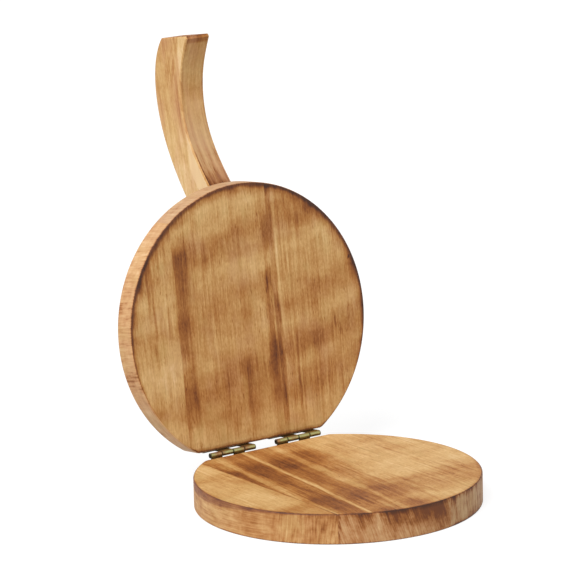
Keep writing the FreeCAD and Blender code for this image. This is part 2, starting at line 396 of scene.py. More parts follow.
class Board:
    """The shader of one stave, and the places on it that its tones are made from."""

    def __init__(self, name, on_lid, look):
        self.look = look
        self.shader = shader = Shader(name)
        self.place = shader.closed_point(on_lid)
        self.x, self.y, z = shader.axes(self.place)

        # Grain direction and its gentle waver
        waver = self.noise(self.place, WAVER)
        self.across = shader.add(self.x, shader.times(self.y, -look.slant), waver)
        self.along = shader.point(self.across, self.y, z)

        # Depths below the top, the pressing face and the back, and the distance from the rim
        low, high = (LID_LOW, LID_HIGH) if on_lid else (BASE_LOW, BASE_HIGH)
        self.depth = shader.minus(high.z, z)
        height = shader.minus(z, low.z)
        self.from_face, self.from_back = (
            (height, self.depth) if on_lid else (self.depth, height))
        squares = shader.add(shader.times(self.x, self.x), shader.times(self.y, self.y))
        from_round = shader.minus(DISC_RADIUS, shader.math("SQRT", squares))
        from_hinges = shader.minus(HINGE_EDGE_Y, self.y)
        self.to_rim = shader.math("MINIMUM", from_round, from_hinges)
        self.on_rim = shader.fade(self.to_rim, *RIM_EDGE)

        # The way around the rim
        minus_x, minus_y = shader.times(self.x, -1.0), shader.times(self.y, -1.0)
        self.arc = shader.times(shader.math("ARCTAN2", minus_x, minus_y), DISC_RADIUS)
        leaning = shader.add(self.arc, shader.times(self.depth, look.rim_lean))
        self.around = shader.point(leaning, self.depth)

    def noise(self, where, texture):
        return self.shader.noise(where, texture, self.look.seed)

    def face_tone(self, lines):
        """Scorching on the faces, with borders that run ragged along the grain."""
        shader, look = self.shader, self.look
        ragged_x = shader.add(self.across, self.noise(self.along, RAGGED_ACROSS))
        drift = self.noise(self.place, DRIFT)
        ragged_y = shader.add(self.y, self.noise(self.along, RAGGED_ALONG), drift)
        ragged = shader.point(shader.add(self.x, shader.minus(ragged_x, self.across)), ragged_y)
        band = shader.add(ragged_y, shader.times(self.x, look.band_slant))
        scorch = shader.add(shader.profile(ragged_x, look.across),
                            shader.profile(band, look.bands),
                            shader.patches(ragged, look.patches))
        milder = shader.times(shader.minus(scorch, HIDDEN_TONE), HIDDEN_CONTRAST)
        even = shader.add(HIDDEN_TONE, milder, self.noise(self.place, HIDDEN_CLOUDS))
        scorch = shader.blend(shader.fade(self.from_face, *HIDDEN_SIDE), scorch, even)
        return shader.add(shader.math("SMOOTH_MIN", scorch, *FACE_DARKEST), lines)

    def rim_tone(self):
        """The rim: marks across it or fibres along it, its own scorching, and its stained share."""
        shader, look = self.shader, self.look
        marks = shader.add(self.noise(self.around, RIM_MARKS),
                           self.noise(self.around, RIM_BROAD_MARKS))
        marks = shader.times(marks, look.rim_marks)
        if look.rim_fibres:
            start, end, strength = look.rim_fibres
            fibres = shader.times(self.noise(self.around, RIM_FIBRES), strength)
            marks = shader.blend(shader.fade(self.arc, start, end), marks, fibres)
        ragged = self.noise(self.around, RIM_RAGGED)
        where = shader.point(shader.add(self.arc, ragged),
                             shader.add(self.depth, shader.times(ragged, RIM_RAGGED_DOWN)))
        tone = shader.add(look.rim_tone, marks, self.noise(self.around, RIM_MOTTLING),
                          shader.patches(where, look.rim_patches))
        stained = 0.0
        if look.rim_band:
            below = shader.minus(self.depth, shader.profile(self.arc, look.rim_band))
            below = shader.add(below, shader.times(marks, STAIN_RAGGED))
            stained = shader.times(shader.fade(below, *STAIN_EDGE), self.on_rim)
            tone = shader.add(tone, shader.times(stained, STAIN_TONE))
        return shader.math("SMOOTH_MIN", tone, *RIM_DARKEST), stained

    def burns_and_shade(self, tone):
        """The tone with its burnt arrises and the brown glow beside them, partly painted shade by
        the hinges and along the base's bottom, and how dark its lines are.
        """
        shader, look = self.shader, self.look
        uneven = shader.add(1.0, self.noise(self.around, BURN_AND_SHADE_UNEVEN))
        turned = shader.add(self.y, shader.times(self.x, look.burn_turn))
        front = shader.fade(turned, *BURN_AND_SHADE_FRONT)
        by_hinges = shader.fade(self.y, *BURN_AND_SHADE_AT_HINGES)
        char_and_shade = 0.0
        for inward, burn_and_shade in ((self.from_face, look.face_burn_and_shade), (self.from_back, look.back_burn_and_shade)):
            share = shader.add(burn_and_shade.sides, shader.times(front, 1.0 - burn_and_shade.sides))
            share = shader.greater(share, shader.times(by_hinges, burn_and_shade.hinge_side))
            reach = shader.times(share, uneven)
            fainter = shader.add(BURN_AND_SHADE_LEAST, shader.times(share, 1.0 - BURN_AND_SHADE_LEAST))
            for stripe in (burn_and_shade.line, burn_and_shade.glow):
                face_mm, rim_mm, strength = stripe
                edge = shader.greater(shader.times(self.to_rim, 1 / face_mm),
                                      shader.times(inward, 1 / rim_mm))
                edge = shader.math("DIVIDE", edge, reach)
                burnt_and_shaded = shader.times(shader.fade(edge, *BURN_AND_SHADE_EDGE), strength, fainter)
                tone = shader.add(tone, burnt_and_shaded)
                if stripe is burn_and_shade.line:
                    char_and_shade = shader.greater(char_and_shade, burnt_and_shaded)
        return tone, char_and_shade

    def colour(self, tone, stained, char_and_shade):
        """The wood's colour for its tone, with its tints."""
        shader, look = self.shader, self.look
        bare = shader.fade(tone, *BARE_TONES)
        pink = shader.fade(self.noise(self.place, PINK_PLACES), *PINK_LEVELS)
        olive = shader.fade(self.noise(self.place, OLIVE_PLACES), *OLIVE_LEVELS)
        colour = shader.ramp(tone, WOOD_TONES)
        colour = shader.mix(shader.times(pink, bare, look.pink), colour, PINK_TINT)
        grey_rim = shader.times(self.on_rim, bare, look.rim_grey)
        colour = shader.mix(grey_rim, colour, srgb(*look.rim_tint))
        colour = shader.mix(shader.times(stained, STAIN_SHARE), colour, STAIN_TINT)
        colour = shader.mix(shader.times(olive, bare, OLIVE_SHARE), colour, OLIVE_TINT)
        # The dark arris lines: charred, and partly painted shade by the hinges and along the base's
        # bottom
        return shader.mix(shader.times(char_and_shade, CHAR_AND_SHADE_SHARE), colour, CHAR_AND_SHADE_TINT)


def board_stave(name, look):
    """The wood of one glued stave of a round board."""
    board = Board(name, name in LID_STAVES, look)
    shader = board.shader
    lines, relief = grain(shader, board.along, board.place, look.seed)
    rim, stained = board.rim_tone()
    tone, char_and_shade = board.burns_and_shade(shader.blend(board.on_rim, board.face_tone(lines), rim))
    return shader.finish(
        Base_Color=board.colour(tone, stained, char_and_shade),
        Roughness=shader.add(BOARD_ROUGHNESS, shader.times(lines, GRAIN_ROUGHNESS)),
        Specular_IOR_Level=WOOD_SHINE,
        Normal=shader.bump(relief, BOARD_RELIEF_MM),
    )


# The burns of the boards' faces and backs; by the hinges and along the base's bottom, where it
# rests on the floor, their lines are partly painted shade
BASE_FACE_BURN_AND_SHADE = BurnAndShade(line=(1.0, 0.8, 0.24), glow=(3.0, 3.0, 0.12), sides=0.5, hinge_side=0.8)
BASE_BOTTOM_BURN_AND_SHADE = BurnAndShade(line=(0.8, 0.6, 0.30), glow=(2.0, 0.8, 0.15), sides=0.7, hinge_side=0.7)
# The right stave's bottom line is wider and stronger: partly burnt arris and partly painted shade
# where the base rests on the floor
BASE_BOTTOM_BURN_AND_SHADE_RIGHT = BurnAndShade(line=(0.8, 1.5, 0.34), glow=(2.0, 2.8, 0.18), sides=0.9, hinge_side=0.7)
LID_FACE_BURN_AND_SHADE = BurnAndShade(line=(3.4, 0.5, 0.36), glow=(8.0, 1.4, 0.24), sides=0.15, hinge_side=0.5)
LID_BACK_BURN = BurnAndShade(line=(0.9, 0.8, 0.34), glow=(2.5, 1.0, 0.15), sides=0.7, hinge_side=0.8)

STAVES = {
    "base_stave_left": Stave(
        seed=1.3, face_burn_and_shade=BASE_FACE_BURN_AND_SHADE, back_burn_and_shade=BASE_BOTTOM_BURN_AND_SHADE,
        across=(
            (-92, 0.27), (-75, 0.26), (-62, 0.25), (-55.2, 0.28), (-54.5, 0.46), (-54.0, 0.70),
        ),
        bands=(
            (-92, 0.12), (-62, 0.16), (-46, 0.15), (-32, 0.02), (-20, -0.05), (0, 0.0), (14, 0.05),
            (25, 0.06), (32, 0.02), (40, 0.10), (52, 0.0), (70, -0.04), (92, 0.0),
        ),
        patches=(
            (-70, -45, 14, 8, 0.06), (-57, -12, 5, 20, 0.15), (-60, -50, 12, 8, 0.11),
            (-59, 24, 8, 8, 0.17), (-70, 13, 7, 8, 0.06), (-66, 53, 11, 9, -0.06),
            (-82, 30, 8, 9, -0.05), (-84, 4, 6, 8, -0.04),
        ),
        pink=0.05, rim_tone=0.42, rim_marks=0.30, rim_fibres=(92.0, 112.0, 0.34), rim_grey=0.16,
        rim_tint=(204, 158, 128), rim_lean=-0.08,
        rim_band=(
            (40, -1.0), (64, 0.2), (96, 1.3), (120, 2.6), (144, 4.8), (160, 5.6), (250, 5.6),
        ),
        rim_patches=(
            (118, 9, 11, 12, 0.12), (98, 4, 16, 5, 0.08), (150, 8, 30, 4, -0.10),
            (88, 8, 9, 8, -0.10), (70, 12, 8, 10, 0.10), (62, 5, 14, 10, 0.10),
            (76, 9, 20, 16, 0.06),
        ),
    ),
    "base_stave_middle": Stave(
        seed=4.1, slant=0.094, face_burn_and_shade=BASE_FACE_BURN_AND_SHADE, back_burn_and_shade=BASE_BOTTOM_BURN_AND_SHADE,
        across=(
            (-66, 0.60), (-53, 0.58), (-51.5, 0.40), (-48.0, 0.36), (-45.5, 0.54), (-43, 0.62),
            (-31, 0.62), (-29.6, 0.52), (-28.6, 0.24), (-27.0, 0.25), (-25.6, 0.52), (-18, 0.62),
            (-9.5, 0.58), (-7, 0.38), (-3.4, 0.38), (-1, 0.50), (8, 0.52), (13, 0.42), (17, 0.30),
            (30, 0.26),
        ),
        bands=(
            (-92, 0.0), (-75, -0.03), (-62, 0.05), (-50, 0.08), (-42, 0.12), (-30, 0.0),
            (-18, -0.03), (0, 0.0), (20, 0.02), (33, 0.10), (50, 0.06), (62, -0.04), (92, -0.06),
        ),
        patches=(
            (-36, 32, 10, 26, 0.16), (-15, 36, 12, 22, 0.12), (8, 50, 8, 18, 0.17),
            (-38, 0, 6, 22, 0.08), (-20, -4, 8, 18, 0.10), (-42, -52, 10, 34, 0.10),
            (-22, -50, 10, 16, 0.06), (6, -46, 14, 12, 0.08), (4, -22, 14, 11, -0.07),
            (12, -80, 8, 8, 0.10), (10, 64, 9, 12, -0.06), (0, -85, 12, 7, 0.16),
            (-22, -72, 9, 12, -0.08), (14, -62, 10, 22, 0.16), (-53, 26, 5, 29, 0.22),
            (-2, 68, 12, 10, -0.12), (-47, 70, 8, 12, -0.03), (-45, 14, 3.5, 10, 0.08),
            (-25, 38, 3.5, 11, -0.07), (-19, -67, 7, 6, 0.08), (17, -48, 3, 24, 0.10),
            (-26, -26, 7, 10, -0.05), (12, -20, 5, 9, -0.06), (-4, -50, 5, 9, -0.05),
            (-49, 54, 8, 10, -0.12), (11, -30, 1.2, 40, 0.10), (2, 10, 1.2, 36, 0.12),
            (-38, -30, 1.4, 40, 0.10), (-14, 10, 1.2, 40, 0.10), (-18, -40, 1.3, 34, 0.10),
        ),
        pink=0.05, rim_tone=0.48, rim_marks=0.34, rim_grey=0.34, rim_tint=(188, 150, 124),
        rim_lean=0.35,
        rim_patches=(
            (20, 0, 15, 14, 0.42), (-2, 1, 14, 16, 0.42), (-14, 7, 8, 18, 0.26),
            (6, 15, 16, 6, -0.08), (42, 2, 7, 13, 0.28), (32, 9, 2.5, 14, -0.20),
            (57.2, 10, 1.2, 20, 0.26), (52, 12, 5, 12, -0.08),
        ),
    ),
    "base_stave_right": Stave(
        seed=7.7, face_burn_and_shade=BASE_FACE_BURN_AND_SHADE, back_burn_and_shade=BASE_BOTTOM_BURN_AND_SHADE_RIGHT,
        across=(
            (21.5, 0.28), (30, 0.26), (45, 0.23), (60, 0.27), (78, 0.25), (92, 0.28),
        ),
        bands=(
            (-92, 0.0), (-76, 0.04), (-62, 0.15), (-52, 0.16), (-44, 0.20), (-37, 0.13),
            (-31, 0.01), (-18, -0.04), (0, 0.0), (20, 0.03), (45, 0.02), (70, 0.0), (92, 0.02),
        ),
        patches=(
            (63, 24, 9, 12, 0.03), (74, -32, 15, 16, 0.08), (64, -20, 7, 10, 0.12),
            (35, 46, 8, 15, 0.07), (31, 5, 11, 10, -0.06), (34, 30, 14, 6, -0.05),
            (76, 34, 10, 16, -0.07), (37, -59, 8, 10, 0.06), (84, -8, 6, 8, -0.06),
            (28, -76, 14, 7, -0.06), (50, 50, 14, 6, 0.05), (24, -40, 1.4, 26, 0.12),
            (32, -44, 1.2, 24, 0.10), (39, -42, 1.2, 28, 0.12), (47, -46, 1.3, 24, 0.10),
            (54, -40, 1.2, 26, 0.12), (62, -44, 1.3, 20, 0.12), (70, -42, 1.2, 16, 0.10),
            (35, 10, 1.2, 40, 0.07), (58, 15, 1.2, 50, 0.10), (66, 30, 1.2, 30, 0.10),
            (45, 40, 1.2, 30, 0.07),
        ),
        pink=0.05, rim_tone=0.43, rim_marks=0.66, rim_grey=0.50, rim_tint=(184, 154, 124),
        rim_lean=0.1,
        rim_patches=(
            (-25, 1, 8, 5, 0.30), (-23, 8, 6, 16, 0.12), (-42, 0, 12, 3.5, 0.16),
            (-19.6, 10, 0.9, 20, 0.20), (-60, 17, 24, 4, 0.10), (-33, 11, 7, 9, -0.07),
        ),
    ),
    "lid_stave_left": Stave(
        seed=11.9, face_burn_and_shade=LID_FACE_BURN_AND_SHADE, back_burn_and_shade=LID_BACK_BURN, burn_turn=0.2,
        across=(
            (-92, 0.33), (-84, 0.34), (-78, 0.37), (-73, 0.38), (-69, 0.30), (-60, 0.30),
            (-55.4, 0.34),
        ),
        bands=(
            (-92, 0.0), (-60, 0.0), (-48, 0.06), (-36, 0.04), (-24, -0.05), (-14, 0.0), (-4, 0.08),
            (6, 0.02), (20, -0.10), (30, -0.12), (40, 0.0), (48, 0.10), (58, 0.02), (68, -0.04),
            (92, 0.0),
        ),
        patches=(
            (-74, -38, 6, 16, 0.10), (-62, -24, 7, 7, -0.05), (-82, -18, 7, 8, -0.05),
            (-58, 44, 7, 10, 0.06), (-76, -30, 1.5, 16, 0.16), (-72, -18, 1.0, 16, 0.16),
            (-66, -50, 1.1, 12, 0.12), (-69, -56, 8, 9, -0.16), (-75, 36, 10, 8, -0.05),
            (-72, 55, 16, 12, -0.10), (-80, 10, 8, 8, -0.05), (-66, -6, 12, 6, 0.05),
            (-84, -40, 2.0, 9, 0.08), (-74, 5, 1.1, 7, 0.20), (-62, -10, 1.1, 12, 0.14),
            (-66, 36, 1.2, 14, 0.10),
        ),
        pink=0.18, rim_tone=0.31, rim_marks=0.40, rim_fibres=(172.0, 196.0, 0.42), rim_grey=0.34,
        rim_tint=(220, 166, 132), rim_lean=0.1,
        rim_patches=(
            (170, 8, 8, 14, 0.18), (187, 8, 5, 14, 0.06), (174, 8, 26, 16, 0.05),
            (208, 8, 30, 16, -0.11), (215, 1, 26, 3, 0.26), (196, 9, 9, 4, -0.10),
            (206, 11, 9, 3, 0.14), (125, 3, 20, 7, 0.10), (80, 8, 18, 14, -0.08),
        ),
    ),
    "lid_stave_middle": Stave(
        seed=14.2, face_burn_and_shade=LID_FACE_BURN_AND_SHADE, back_burn_and_shade=LID_BACK_BURN, band_slant=0.27,
        across=(
            (-55.4, 0.40), (-55.0, 0.56), (-45.6, 0.58), (-43.4, 0.38), (-36, 0.37), (-31, 0.33),
            (-24, 0.38), (-12, 0.34), (-4, 0.39), (2, 0.35), (8, 0.32), (13.5, 0.36), (15.5, 0.46),
            (19.8, 0.46), (20.1, 0.42), (20.3, 0.40),
        ),
        bands=(
            (-112, -0.04), (-92, -0.12), (-80, -0.14), (-71, -0.02), (-63, 0.14), (-54, 0.08),
            (-46, -0.03), (-38, -0.08), (-30, 0.0), (-23, 0.07), (-14, 0.02), (-4, 0.0), (6, -0.05),
            (14, 0.0), (22, 0.11), (29, 0.19), (37, 0.12), (46, 0.08), (55, 0.05), (62, -0.04),
            (72, -0.07), (92, -0.07),
        ),
        patches=(
            (-50, -74, 9, 16, -0.32), (-50, -50, 8, 10, -0.05), (-50, -30, 8, 26, 0.12),
            (-49, 4, 9, 14, 0.04), (-50, 22, 8, 11, -0.10), (-50, 46, 8, 12, -0.15),
            (-50, 68, 9, 18, -0.30), (-47, 40, 4, 26, 0.02), (-30, -47, 3, 14, 0.10),
            (20, -60, 6, 12, 0.16), (19, -28, 6, 12, 0.12), (18, -42, 7, 9, -0.10),
            (18, 22, 8, 18, 0.24), (18, 48, 7, 12, 0.18), (-3, 36, 5, 22, 0.09),
            (-13, 33, 3, 12, -0.03), (-22, 40, 3.5, 16, 0.06), (-34, 38, 8, 9, 0.04),
            (-21, 42, 1.4, 24, 0.16), (-16, 30, 1.8, 16, -0.05), (-4.5, 42, 1.8, 30, 0.14),
            (3, 36, 1.4, 22, 0.10), (-30, 34, 1.8, 14, 0.09), (-47, 30, 1.3, 22, 0.08),
            (-31, -48, 1.6, 20, 0.14), (-25, -44, 1.2, 22, 0.10), (16.5, -30, 1.1, 34, 0.16),
            (-8, -70, 1.2, 18, 0.08), (-38, -62, 1.6, 20, 0.10), (9, 12, 1.2, 30, 0.08),
            (-26, 5, 1.2, 34, 0.03), (-28, -10, 16, 14, 0.05), (-2, -16, 6, 18, 0.06),
            (8, -14, 6, 8, -0.08), (-43, -28, 2.6, 20, 0.08), (-32, -30, 3.5, 16, 0.08),
            (5, 56, 15, 16, 0.08), (-14, 54, 6, 12, 0.05), (-2, 2, 8, 14, 0.05),
            (16, 0, 3.5, 16, 0.07), (-42, 55, 13, 17, -0.12), (14, -24, 3, 8, -0.08),
            (-46, -72, 10, 6, 0.15), (-28, -82, 12, 5, 0.08), (0, -89, 17, 4, 0.12),
            (-36, 36, 10, 18, -0.12), (-44, 70, 12, 12, -0.10), (-27, 20, 2.5, 34, -0.06),
            (-49, 8, 6, 16, -0.04), (-31, 3, 3, 14, 0.05), (-15, 56, 5, 10, 0.04),
            (-16, 38, 4, 9, 0.03), (-3, -48, 14, 9, 0.03), (-15, 5, 14, 9, 0.03),
            (-19, 35, 5, 13, 0.07), (18, 5, 4, 14, 0.05), (0, 60, 12, 9, 0.04),
            (22, -74, 8, 11, -0.09), (0, -78, 10, 6, -0.04), (-25, -70, 6, 6, -0.05),
            (-34, -53, 7, 6, -0.06), (-18, -60, 14, 7, -0.04), (-30, 64, 12, 8, -0.05),
            (12, -66, 10, 7, -0.04),
        ),
        pink=0.18, rim_tone=0.29, rim_marks=0.42, rim_grey=0.50, rim_tint=(208, 168, 140),
        rim_lean=0.1, rim_patches=((46, 8, 5, 14, 0.12),),
    ),
    "lid_stave_right": Stave(
        seed=17.8, face_burn_and_shade=LID_FACE_BURN_AND_SHADE, back_burn_and_shade=LID_BACK_BURN, band_slant=0.27,
        burn_turn=-0.3,
        across=(
            (20.3, 0.42), (21, 0.48), (23.6, 0.46), (25, 0.30), (27, 0.34), (29, 0.38), (33, 0.36),
            (36, 0.41), (39, 0.36), (48, 0.37), (52, 0.40), (62, 0.35), (71, 0.38), (76, 0.34),
            (92, 0.36),
        ),
        bands=(
            (-80, 0.08), (-60, 0.12), (-52, 0.12), (-44, 0.0), (-36, -0.11), (-28, -0.06),
            (-20, -0.06), (-10, 0.04), (-2, 0.10), (6, 0.02), (14, -0.06), (22, 0.06), (31, 0.17),
            (38, 0.05), (43, -0.03), (50, 0.07), (58, 0.14), (65, 0.04), (74, -0.05), (92, -0.05),
        ),
        patches=(
            (22, 30, 5, 34, 0.18), (22, -60, 4, 18, 0.12), (22, -20, 4, 18, 0.06),
            (50, 18, 10, 9, 0.06), (62, -50, 14, 10, -0.05), (48, -64, 12, 8, 0.08),
            (82.5, -34, 1.3, 2.0, 0.55), (29, -50, 0.9, 64, 0.10), (32, 0, 0.9, 84, 0.10),
            (36, 46, 1.0, 36, 0.18), (38.6, 52, 0.9, 28, 0.14), (67, 9, 1.1, 8, 0.26),
            (71, 16, 1.0, 4, 0.24), (57, -20, 1.2, 18, 0.08), (44, -66, 1.4, 16, 0.10),
            (23, -10, 0.9, 80, 0.12), (26, -10, 1.0, 80, -0.08), (53, 25, 11, 7, 0.13),
            (67, 21, 14, 7, 0.08), (44, 57, 9, 14, 0.06), (55, 24, 12, 4, 0.06),
            (52, 47, 4, 12, 0.05), (35, -38, 6, 12, 0.04), (22, -74, 8, 11, -0.09),
            (75, 38, 8, 7, -0.04), (47, -42, 14, 13, 0.10), (30, -82, 14, 7, -0.12),
            (50, 58, 10, 10, 0.06), (56, -24, 9, 7, -0.04), (32, 34, 7, 8, 0.05),
        ),
        pink=0.18, rim_tone=0.30, rim_marks=0.46, rim_grey=0.34, rim_tint=(210, 164, 130),
        rim_lean=0.1,
    ),
}


# The handle

# Its inner arris's height above the table along Y, with the press closed, in millimetres
HANDLE_ARRIS = (
    (-190, 56.5), (-184, 59.0), (-172, 65.0), (-159, 69.3), (-146, 70.8), (-126, 67.7),
    (-113, 62.0), (-102, 55.5), (-94, 49.7), (-84, 42.5),
)
HANDLE_SEAT = Vector((0.0, LID_LOW.y, LID_HIGH.z))
HANDLE_GRAIN_DEGREES = 5.0
HANDLE_SIDE_SEED = 21.0
HANDLE_FACE_SEED = 24.0
HANDLE_ROUGHNESS = 0.58
HANDLE_RELIEF_MM = 0.08
ARRIS_EDGE = (1.6, 0.8)
# The grain changes little through the thickness
THROUGH_THICKNESS = 0.1

# Levels along Y
HANDLE_SIDE = (
    (-190, 0.30), (-165, 0.30), (-140, 0.24), (-120, 0.16), (-95, 0.12), (-60, 0.20),
)
# The inner face's levels, darkest by the rim: partly scorching and partly painted shade where the
# handle meets the lid
HANDLE_INNER_SCORCH_AND_SHADE = (
    (-190, 0.34), (-165, 0.34), (-146, 0.32), (-126, 0.30), (-112, 0.34), (-103, 0.46),
    (-95, 0.60), (-88, 0.66),
)
HANDLE_OUTER_TONE = 0.30
HANDLE_ARRIS_BURN = (
    (-190, 0.24), (-165, 0.18), (-140, 0.18), (-118, 0.30), (-100, 0.44), (-88, 0.50),
)

# Places on the sides: height above the inner arris, Y, half width, half length, change of tone
HANDLE_SIDE_PATCHES = (
    (4.5, -138, 4, 30, 0.26), (10, -160, 2.2, 36, 0.14), (18, -140, 3, 34, 0.08),
    (14, -112, 3, 24, 0.08), (24, -180, 8, 30, 0.06), (15, -175, 2, 20, 0.10),
)
# Places on the inner face: X, Y, half width, half length, change of tone
HANDLE_INNER_PATCHES = (
    (-4.5, -118, 1.6, 26, 0.16), (-1.5, -112, 1.5, 24, -0.10), (1.5, -108, 1.4, 24, 0.16),
    # The darker places at Y -92 to -98, by the rim, are partly scorching and partly painted shade
    # where the handle meets the lid
    (4.5, -110, 1.4, 26, -0.08), (8.8, -130, 1.0, 70, 0.18), (-2, -92, 9, 8, 0.12),
    (-8.6, -96, 2.2, 16, 0.30), (7.5, -98, 2.0, 16, 0.14), (0, -166, 12, 14, -0.06),
)
SIDE_LINES, INNER_LINES = 0.9, 0.8
SIDE_STREAKS = Texture((3.2, 60, 4), seed=27, detail=3, roughness=0.6, strength=0.24)
INNER_STREAKS = Texture((2.2, 50, 4), seed=33, detail=3, roughness=0.6, strength=0.22)

# The paler strip on the sides: how far it reaches above the inner arris along Y, its edge and how
# ragged that is, its change of tone, and how far the streaks fade there
PALE_STRIP = ((-190, 11.5), (-158, 0.0), (-150, -3.0), (-130, -3.0), (-122, 2.0), (-95, 14.0))
PALE_STRIP_EDGE = (0.8, -0.8)
PALE_STRIP_RAGGED = 2.0
PALE_STRIP_TONE = -0.22
PALE_STRIP_FADES = 0.6

# The edges of its scorching: how ragged each is, and where it starts and is full, in millimetres
HANDLE_RAGGED = Texture((4, 8, 4), seed=31)
TIP_SCORCH, TIP_SCORCH_TONE = (1.5, 5.5, 3.5), 0.26
TIP_LINE, TIP_LINE_TONE = (0.6, 1.0, 0.2), 0.16
ARRIS_LINE_FROM_SIDE = (0.8, 2.2, 0.9)
ARRIS_LINE_FROM_ARRIS = (0.5, 1.5, 0.6)

# Its tints: pink in places, and greyer on the inner face where the tone is pale near the lid
HANDLE_PINK_PLACES = Texture((9, 30, 12), seed=37)
HANDLE_PINK_LEVELS = (-0.2, 0.4)
HANDLE_PINK_TINT = srgb(214, 160, 122)
HANDLE_PINK_SHARE = 0.35
HANDLE_GREYER_Y = (-150.0, -118.0)
HANDLE_GREYER_TONES = (0.8, 0.4)
HANDLE_GREYER_TINT = srgb(192, 160, 124)
HANDLE_GREYER_SHARE = 0.5


def handle_side(shader, y, from_arris, along, lines):
    """The tone of the handle's sides: long streaks and a paler strip along the inner arris."""
    edge = shader.minus(from_arris, shader.profile(y, PALE_STRIP))
    edge = shader.add(edge, shader.times(lines, PALE_STRIP_RAGGED))
    strip = shader.fade(edge, *PALE_STRIP_EDGE)
    fainter = shader.other(shader.times(strip, PALE_STRIP_FADES))
    return shader.add(
        shader.profile(y, HANDLE_SIDE),
        shader.times(lines, SIDE_LINES),
        shader.times(shader.noise(along, SIDE_STREAKS), fainter),
        shader.times(strip, PALE_STRIP_TONE),
        shader.patches(shader.point(from_arris, y), HANDLE_SIDE_PATCHES),
    )


def handle_inner(shader, x, y, along, lines):
    """The tone of the handle's inner face, darkest by the rim: partly scorching and partly painted
    shade where the handle meets the lid.
    """
    return shader.add(
        shader.profile(y, HANDLE_INNER_SCORCH_AND_SHADE),
        shader.times(lines, INNER_LINES),
        shader.noise(along, INNER_STREAKS),
        shader.patches(shader.point(x, y), HANDLE_INNER_PATCHES),
    )


def handle_wood():
    """The handle's wood: straight grain from heel to tip, scorched at the tip, and darker by the
    rim, partly scorching and partly painted shade.
    """
    shader = Shader("handle_wood")
    place = shader.closed_point(True)
    x, y, z = shader.axes(place)
    turned = shader.turned(place, HANDLE_SEAT, HANDLE_GRAIN_DEGREES)
    turned_x, turned_y, turned_z = shader.axes(turned)
    side_along = shader.point(turned_z, turned_y, shader.times(x, THROUGH_THICKNESS))
    face_along = shader.point(turned_x, turned_y, shader.times(turned_z, THROUGH_THICKNESS))
    side_lines, side_relief = grain(shader, side_along, side_along, HANDLE_SIDE_SEED)
    face_lines, face_relief = grain(shader, face_along, face_along, HANDLE_FACE_SEED)

    # The sides, the inner face and the rest
    from_side = shader.minus(HANDLE_HIGH.x, shader.math("ABSOLUTE", x))
    from_arris = shader.minus(z, shader.profile(y, HANDLE_ARRIS))
    on_side = shader.fade(from_side, *ARRIS_EDGE)
    inside = shader.fade(from_arris, *ARRIS_EDGE)
    outer = shader.add(HANDLE_OUTER_TONE, face_lines)
    faces = shader.blend(inside, outer, handle_inner(shader, x, y, face_along, face_lines))
    side = handle_side(shader, y, from_arris, side_along, side_lines)
    tone = shader.blend(on_side, faces, side)

    # Scorched end and arrises
    ragged = shader.noise(side_along, HANDLE_RAGGED)

    def scorched(distance, ragged_by, start, full):
        return shader.fade(shader.add(distance, shader.times(ragged, ragged_by)), start, full)

    from_tip = shader.minus(y, HANDLE_LOW.y)
    end = shader.times(scorched(from_tip, *TIP_SCORCH), shader.other(on_side))
    line = shader.times(scorched(from_side, *ARRIS_LINE_FROM_SIDE),
                        scorched(from_arris, *ARRIS_LINE_FROM_ARRIS))
    tone = shader.add(
        tone,
        shader.times(end, TIP_SCORCH_TONE),
        shader.times(scorched(from_tip, *TIP_LINE), TIP_LINE_TONE),
        shader.times(line, shader.profile(y, HANDLE_ARRIS_BURN)),
    )

    colour = shader.ramp(tone, WOOD_TONES)
    pink = shader.fade(shader.noise(place, HANDLE_PINK_PLACES), *HANDLE_PINK_LEVELS)
    colour = shader.mix(shader.times(pink, HANDLE_PINK_SHARE), colour, HANDLE_PINK_TINT)
    near_lid = shader.fade(y, *HANDLE_GREYER_Y)
    unscorched = shader.fade(tone, *HANDLE_GREYER_TONES)
    greyer = shader.times(inside, shader.other(on_side), near_lid, unscorched)
    colour = shader.mix(shader.times(greyer, HANDLE_GREYER_SHARE), colour, HANDLE_GREYER_TINT)
    return shader.finish(
        Base_Color=colour,
        Roughness=HANDLE_ROUGHNESS,
        Specular_IOR_Level=WOOD_SHINE,
        Normal=shader.bump(shader.add(side_relief, face_relief), HANDLE_RELIEF_MM),
    )


# Metal

# A leaf's barrel, in millimetres
BARREL_RADIUS = 1.7
KNUCKLE_GAP = 0.2
KNUCKLES = 4

BRASS_CLOUDS = Texture((2.2, 1.4, 1.4), seed=2, detail=3, roughness=0.6)
BRASS_CLOUD_LEVELS = (-0.4, 0.4)
BRASS_DARK, BRASS_PATINA = srgb(74, 62, 38), srgb(108, 94, 54)
BRASS_SCREW = srgb(140, 122, 78)

# Painted highlight on the side of the barrels that faces up and to the front with the press open,
# each knuckle in a colour of its own
PAINTED_HIGHLIGHT_SIDE = Vector((0.0, -0.45, 0.89))
PAINTED_HIGHLIGHT_EDGE = (0.0, 0.95)
PAINTED_HIGHLIGHT_RAGGED = 0.35
PAINTED_HIGHLIGHT_KNUCKLES = Texture((7, 60, 60), seed=6, detail=0)
PAINTED_HIGHLIGHT_LEVELS = (-0.15, 0.25)
PAINTED_HIGHLIGHT_YELLOW, PAINTED_HIGHLIGHT_RED = srgb(174, 168, 112), srgb(166, 128, 88)

# Painted shade where the knuckles meet
JOINT_SHADE_EDGE = (0.9, 0.2)
JOINT_SHADE_RAGGED = 0.5
JOINT_SHADE_COLOUR = srgb(52, 44, 28)
JOINT_SHADE_SHARE = 0.75

